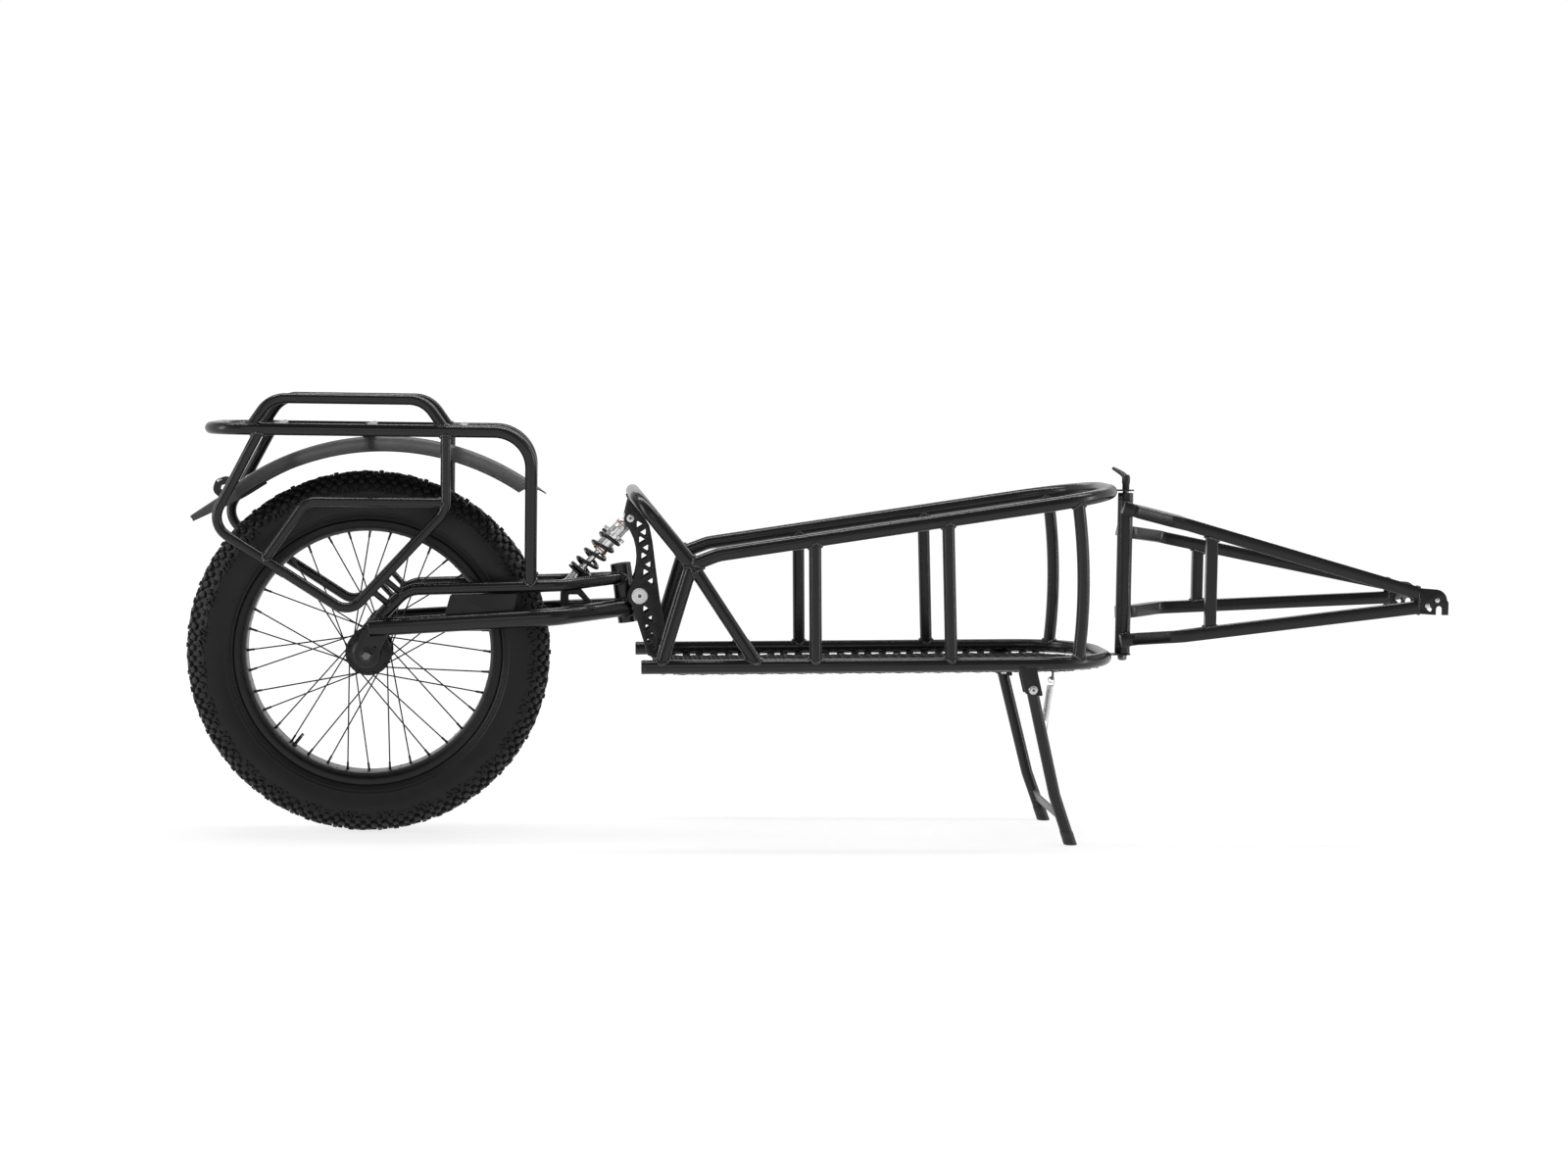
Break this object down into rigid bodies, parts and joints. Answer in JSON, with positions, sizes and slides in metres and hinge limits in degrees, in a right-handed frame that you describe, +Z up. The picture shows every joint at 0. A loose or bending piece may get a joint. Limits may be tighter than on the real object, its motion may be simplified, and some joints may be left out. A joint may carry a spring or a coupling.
{
  "type": "single-wheel bike cargo trailer",
  "caption": "Sprung single-wheel bicycle cargo trailer: tubular bin with mesh floor, fat-tyre swingarm with rack and fender, kickstand and axle-mounted steering yoke.",
  "frame": {"origin": "bottom centre of the bounding box, on the ground under the trailer's middle", "axes": "+X forward, from the wheel to the hitch; +Y to the trailer's left; +Z up"},
  "size_m": [2.023, 0.352, 0.7009],
  "materials": {
    "frame_paint": "semi-gloss black powder coat",
    "tyre": "matt black tread rubber",
    "rubber": "matt black rubber",
    "rim_black": "black anodised, semi-matt",
    "spoke_black": "black-coated wire",
    "fender_grey": "dark grey satin",
    "black_plastic": "matt black moulding",
    "steel": "bright zinc-plated steel",
    "shock_silver": "silver turned aluminium",
    "coil_black": "gloss black spring paint",
    "spring_zinc": "bright plated spring wire"
  },
  "bodies": {
    "cargo_frame": {"deck_hoop": "frame_paint", "top_hoop": "frame_paint", "rear_hoop": "frame_paint", "rear_brace_right": "frame_paint", "rear_brace_left": "frame_paint", "rear_post_right": "frame_paint", "rear_post_left": "frame_paint", "middle_post_right": "frame_paint", "middle_post_left": "frame_paint", "front_post_right": "frame_paint", "front_post_left": "frame_paint", "deck_panel": "frame_paint", "shock_plate_right": "frame_paint", "shock_plate_left": "frame_paint", "kickstand_bracket_right": "frame_paint", "kickstand_bracket_left": "frame_paint", "kickstand_bolt_right": "steel", "kickstand_bolt_left": "steel", "swingarm_pivot_bolt": "steel", "shock_upper_bolt": "steel", "hitch_pin": "steel"},
    "swingarm": {"swingarm_head": "frame_paint", "upper_stay_right": "frame_paint", "upper_stay_left": "frame_paint", "lower_stay_right": "frame_paint", "lower_stay_left": "frame_paint", "shock_bracket": "frame_paint", "shock_lower_bolt": "steel", "rack_hoop": "frame_paint", "rack_top_bar_right": "frame_paint", "rack_top_bar_left": "frame_paint", "rack_side_loop_right": "frame_paint", "rack_side_loop_left": "frame_paint", "fender": "fender_grey", "mud_flap": "black_plastic", "wheel_axle": "steel"},
    "wheel": {"tyre": "tyre", "inner_tube": "rubber", "rim": "rim_black", "hub_shell": "rim_black", "spokes_right": "spoke_black", "spokes_left": "spoke_black", "hub_bearing_right": "steel", "hub_bearing_left": "steel"},
    "shock_upper": {"shock_body": "shock_silver", "coil_spring": "coil_black"},
    "preload_ring": {"preload_ring": "rim_black"},
    "shock_lower": {"shock_shaft": "shock_silver"},
    "kickstand": {"kickstand_frame": "frame_paint", "foot_cap_right": "rubber", "foot_cap_left": "rubber"},
    "stand_spring": {"stand_spring": "spring_zinc"},
    "yoke": {"hitch_head_tube": "frame_paint", "yoke_upper_arm_right": "frame_paint", "yoke_upper_arm_left": "frame_paint", "yoke_lower_arm_right": "frame_paint", "yoke_lower_arm_left": "frame_paint"},
    "clamp_lever": {"clamp_lever": "black_plastic"},
    "latch_right": {"latch_right": "steel"},
    "latch_left": {"latch_left": "steel"}
  },
  "joints": [
    {"name": "swingarm_pivot", "type": "hinge", "parent": "cargo_frame", "child": "swingarm", "pos_m": [-0.2915, 0, 0.384], "axis": [0, 1, 0], "range_deg": [0, 12], "stiffness_Nm_per_rad": 1250, "springref_deg": -2.86},
    {"name": "wheel_spin", "type": "hinge", "parent": "swingarm", "child": "wheel", "pos_m": [-0.7215, 0, 0.29], "axis": [0, 1, 0], "continuous": true},
    {"name": "shock_swing", "type": "hinge", "parent": "cargo_frame", "child": "shock_upper", "pos_m": [-0.3075, 0, 0.508], "axis": [0, 1, 0], "range_deg": [0, 5.5]},
    {"name": "shock_stroke", "type": "slide", "parent": "shock_upper", "child": "shock_lower", "axis": [0.6763, 0, 0.7366], "range_m": [0, 0.021], "deforming": ["coil_spring"]},
    {"name": "preload_ring_turn", "type": "hinge", "parent": "shock_upper", "child": "preload_ring", "pos_m": [-0.34357, 0, 0.46871], "axis": [0.6763, 0, 0.7366], "range_deg": [-180, 180]},
    {"name": "kickstand_fold", "type": "hinge", "parent": "cargo_frame", "child": "kickstand", "pos_m": [0.3245, 0, 0.251], "axis": [0, 1, 0], "range_deg": [0, 100], "stiffness_Nm_per_rad": 1.5, "springref_deg": -22.92},
    {"name": "stand_spring_swing", "type": "hinge", "parent": "cargo_frame", "child": "stand_spring", "pos_m": [0.3595, -0.1325, 0.2655], "axis": [0, 1, 0], "range_deg": [0, 72], "deforming": ["stand_spring"]},
    {"name": "hitch_yaw", "type": "hinge", "parent": "cargo_frame", "child": "yoke", "pos_m": [0.4975, 0, 0.4255], "axis": [0, 0, 1], "range_deg": [-70, 70]},
    {"name": "clamp_lever_turn", "type": "hinge", "parent": "cargo_frame", "child": "clamp_lever", "pos_m": [0.4975, 0, 0.575], "axis": [0, 0, 1], "range_deg": [-90, 90]},
    {"name": "latch_right_turn", "type": "hinge", "parent": "yoke", "child": "latch_right", "pos_m": [0.992, -0.0885, 0.392], "axis": [0, -1, 0], "range_deg": [0, 27]},
    {"name": "latch_left_turn", "type": "hinge", "parent": "yoke", "child": "latch_left", "pos_m": [0.992, 0.0885, 0.392], "axis": [0, -1, 0], "range_deg": [0, 27]}
  ],
  "couplings": [
    {"joint": "shock_swing", "follows": "swingarm_pivot", "ratio": 0.456},
    {"joint": "shock_stroke", "follows": "swingarm_pivot", "m_per_rad": 0.09875},
    {"joint": "stand_spring_swing", "follows": "kickstand_fold", "ratio": 0.72}
  ]
}
